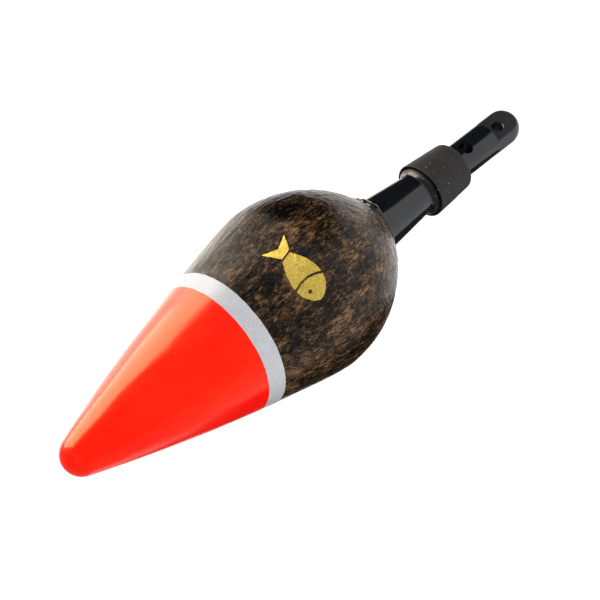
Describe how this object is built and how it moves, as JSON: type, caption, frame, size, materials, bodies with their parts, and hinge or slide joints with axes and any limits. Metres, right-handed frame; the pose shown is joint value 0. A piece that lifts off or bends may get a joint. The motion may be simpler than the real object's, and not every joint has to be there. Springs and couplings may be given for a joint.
{
  "type": "bobber float",
  "caption": "Pear-shaped balsa bobber float with an orange tip, a black stem ending in a line eye, and a rubber sleeve that slides to lock the line.",
  "frame": {"origin": "centre of the line eye at the foot of the stem", "axes": "+Z along the float's axis, towards the coloured tip; +X along the line eye's hole"},
  "size_m": [0.0254, 0.0254, 0.0871],
  "materials": {
    "varnished_balsa": "dark-stained balsa under clear gloss varnish",
    "white_paint": "thin brushed white paint under varnish",
    "orange_paint": "fluorescent orange-red paint, glossy and slightly wavy",
    "black_plastic": "glossy moulded black plastic",
    "black_glue": "glossy black set glue",
    "sleeve_rubber": "matt charcoal rubber with fine pale dust",
    "gold_foil": "hot-stamped gold foil, finely crinkled"
  },
  "bodies": {
    "float_body": {"balsa_body": "varnished_balsa", "white_undercoat": "white_paint", "orange_topcoat": "orange_paint", "stem": "black_plastic", "stem_glue": "black_glue", "foil_mark": "gold_foil"},
    "sleeve": {"lock_sleeve": "sleeve_rubber"}
  },
  "joints": [
    {"name": "sleeve_slide", "type": "slide", "parent": "float_body", "child": "sleeve", "axis": [0, 0, -1], "range_m": [0, 0.0061]}
  ]
}
